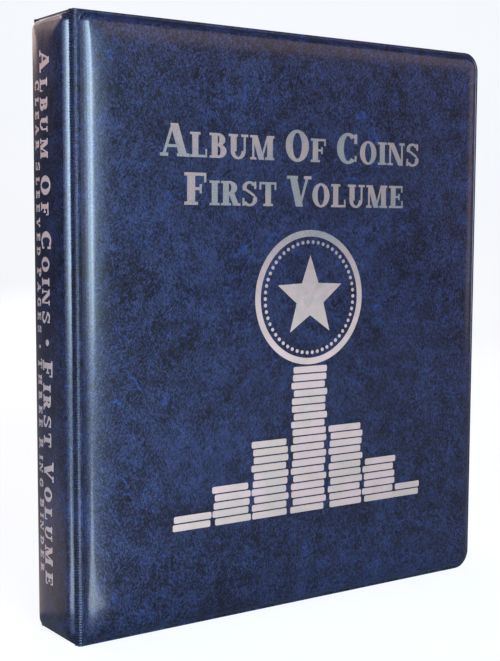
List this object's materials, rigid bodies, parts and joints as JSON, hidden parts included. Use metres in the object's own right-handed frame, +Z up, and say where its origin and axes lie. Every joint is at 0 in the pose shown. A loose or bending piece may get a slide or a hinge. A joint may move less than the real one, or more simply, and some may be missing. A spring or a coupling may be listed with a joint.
{
  "type": "coin album",
  "caption": "Padded three-ring album in two-tone vinyl that stands on its edge and keeps coins in clear sleeved leaves; covers, rings and levers move.",
  "frame": {"origin": "centre of the foot print of the closed album, on the bottom edge it stands on", "axes": "+Z up the album's height, +X from the spine to the fore-edge, -Y out of the front cover"},
  "size_m": [0.262, 0.051, 0.298],
  "materials": {
    "outer_vinyl": "semi-gloss, embossed leather grain, mottled two-tone",
    "liner_vinyl": "satin, fine grain",
    "foam": "soft open-cell foam",
    "board": "dense grey bookbinding board",
    "plated_steel": "polished nickel plate",
    "spring_steel": "bright rolled steel",
    "clear_vinyl": "clear, glossy",
    "card": "matte, dark blue card"
  },
  "bodies": {
    "spine": {"spine_outer_vinyl": "outer_vinyl", "spine_foam_pad": "foam", "spine_board": "board", "spine_liner": "liner_vinyl", "ring_housing": "plated_steel", "spine_rivets": "plated_steel", "front_hinge_strip": "outer_vinyl", "back_hinge_strip": "outer_vinyl"},
    "front_cover": {"front_outer_vinyl": "outer_vinyl", "front_foam_pad": "foam", "front_board": "board", "front_liner": "liner_vinyl"},
    "back_cover": {"back_outer_vinyl": "outer_vinyl", "back_foam_pad": "foam", "back_board": "board", "back_liner": "liner_vinyl"},
    "front_rings": {"front_hinge_plate": "spring_steel", "front_ring_upper": "plated_steel", "front_ring_middle": "plated_steel", "front_ring_lower": "plated_steel"},
    "back_rings": {"back_hinge_plate": "spring_steel", "back_ring_upper": "plated_steel", "back_ring_middle": "plated_steel", "back_ring_lower": "plated_steel"},
    "lever_upper": {"upper_lever": "plated_steel"},
    "lever_lower": {"lower_lever": "plated_steel"},
    "leaf_1": {"leaf_1_sleeve": "clear_vinyl", "leaf_1_coin_card": "card"},
    "leaf_2": {"leaf_2_sleeve": "clear_vinyl", "leaf_2_coin_card": "card"},
    "leaf_3": {"leaf_3_sleeve": "clear_vinyl", "leaf_3_coin_card": "card"},
    "leaf_4": {"leaf_4_sleeve": "clear_vinyl", "leaf_4_coin_card": "card"},
    "leaf_5": {"leaf_5_sleeve": "clear_vinyl", "leaf_5_coin_card": "card"},
    "leaf_6": {"leaf_6_sleeve": "clear_vinyl", "leaf_6_coin_card": "card"}
  },
  "joints": [
    {"name": "front_cover_hinge", "type": "hinge", "parent": "spine", "child": "front_cover", "pos_m": [-0.1251, -0.02, 0.149], "axis": [0, 0, -1], "range_deg": [0, 180], "deforming": ["front_hinge_strip"]},
    {"name": "back_cover_hinge", "type": "hinge", "parent": "spine", "child": "back_cover", "pos_m": [-0.1251, 0.02, 0.149], "axis": [0, 0, 1], "range_deg": [0, 180], "deforming": ["back_hinge_strip"]},
    {"name": "ring_opening", "type": "hinge", "parent": "spine", "child": "front_rings", "pos_m": [-0.1215, -0.0103, 0.149], "axis": [0, 0, -1], "range_deg": [0, 16]},
    {"name": "back_ring_opening", "type": "hinge", "parent": "spine", "child": "back_rings", "pos_m": [-0.1215, 0.0103, 0.149], "axis": [0, 0, 1], "range_deg": [0, 16]},
    {"name": "upper_lever_pivot", "type": "hinge", "parent": "spine", "child": "lever_upper", "pos_m": [-0.1217, 0, 0.2855], "axis": [0, -1, 0], "range_deg": [0, 26]},
    {"name": "lower_lever_pivot", "type": "hinge", "parent": "spine", "child": "lever_lower", "pos_m": [-0.1217, 0, 0.0125], "axis": [0, 1, 0], "range_deg": [0, 26]},
    {"name": "leaf_3_slide_on_ring", "type": "hinge", "parent": "front_rings", "child": "leaf_3", "pos_m": [-0.1097, 0, 0.149], "axis": [0, 0, 1], "range_deg": [0, 16]},
    {"name": "leaf_4_slide_on_ring", "type": "hinge", "parent": "back_rings", "child": "leaf_4", "pos_m": [-0.1097, 0, 0.149], "axis": [0, 0, -1], "range_deg": [0, 16]},
    {"name": "leaf_2_turn", "type": "hinge", "parent": "leaf_3", "child": "leaf_2", "pos_m": [-0.1097, 0, 0.149], "axis": [0, 0, -1], "range_deg": [0, 30]},
    {"name": "leaf_1_turn", "type": "hinge", "parent": "leaf_3", "child": "leaf_1", "pos_m": [-0.1097, 0, 0.149], "axis": [0, 0, -1], "range_deg": [0, 60]},
    {"name": "leaf_5_turn", "type": "hinge", "parent": "leaf_4", "child": "leaf_5", "pos_m": [-0.1097, 0, 0.149], "axis": [0, 0, 1], "range_deg": [0, 30]},
    {"name": "leaf_6_turn", "type": "hinge", "parent": "leaf_4", "child": "leaf_6", "pos_m": [-0.1097, 0, 0.149], "axis": [0, 0, 1], "range_deg": [0, 60]}
  ],
  "couplings": [
    {"joint": "back_ring_opening", "follows": "ring_opening", "ratio": 1},
    {"joint": "upper_lever_pivot", "follows": "ring_opening", "ratio": 1.625},
    {"joint": "lower_lever_pivot", "follows": "ring_opening", "ratio": 1.625},
    {"joint": "leaf_3_slide_on_ring", "follows": "ring_opening", "ratio": 1},
    {"joint": "leaf_4_slide_on_ring", "follows": "ring_opening", "ratio": 1},
    {"joint": "leaf_2_turn", "follows": "front_cover_hinge", "ratio": 0.16667},
    {"joint": "leaf_1_turn", "follows": "front_cover_hinge", "ratio": 0.33333},
    {"joint": "leaf_5_turn", "follows": "back_cover_hinge", "ratio": 0.16667},
    {"joint": "leaf_6_turn", "follows": "back_cover_hinge", "ratio": 0.33333}
  ]
}
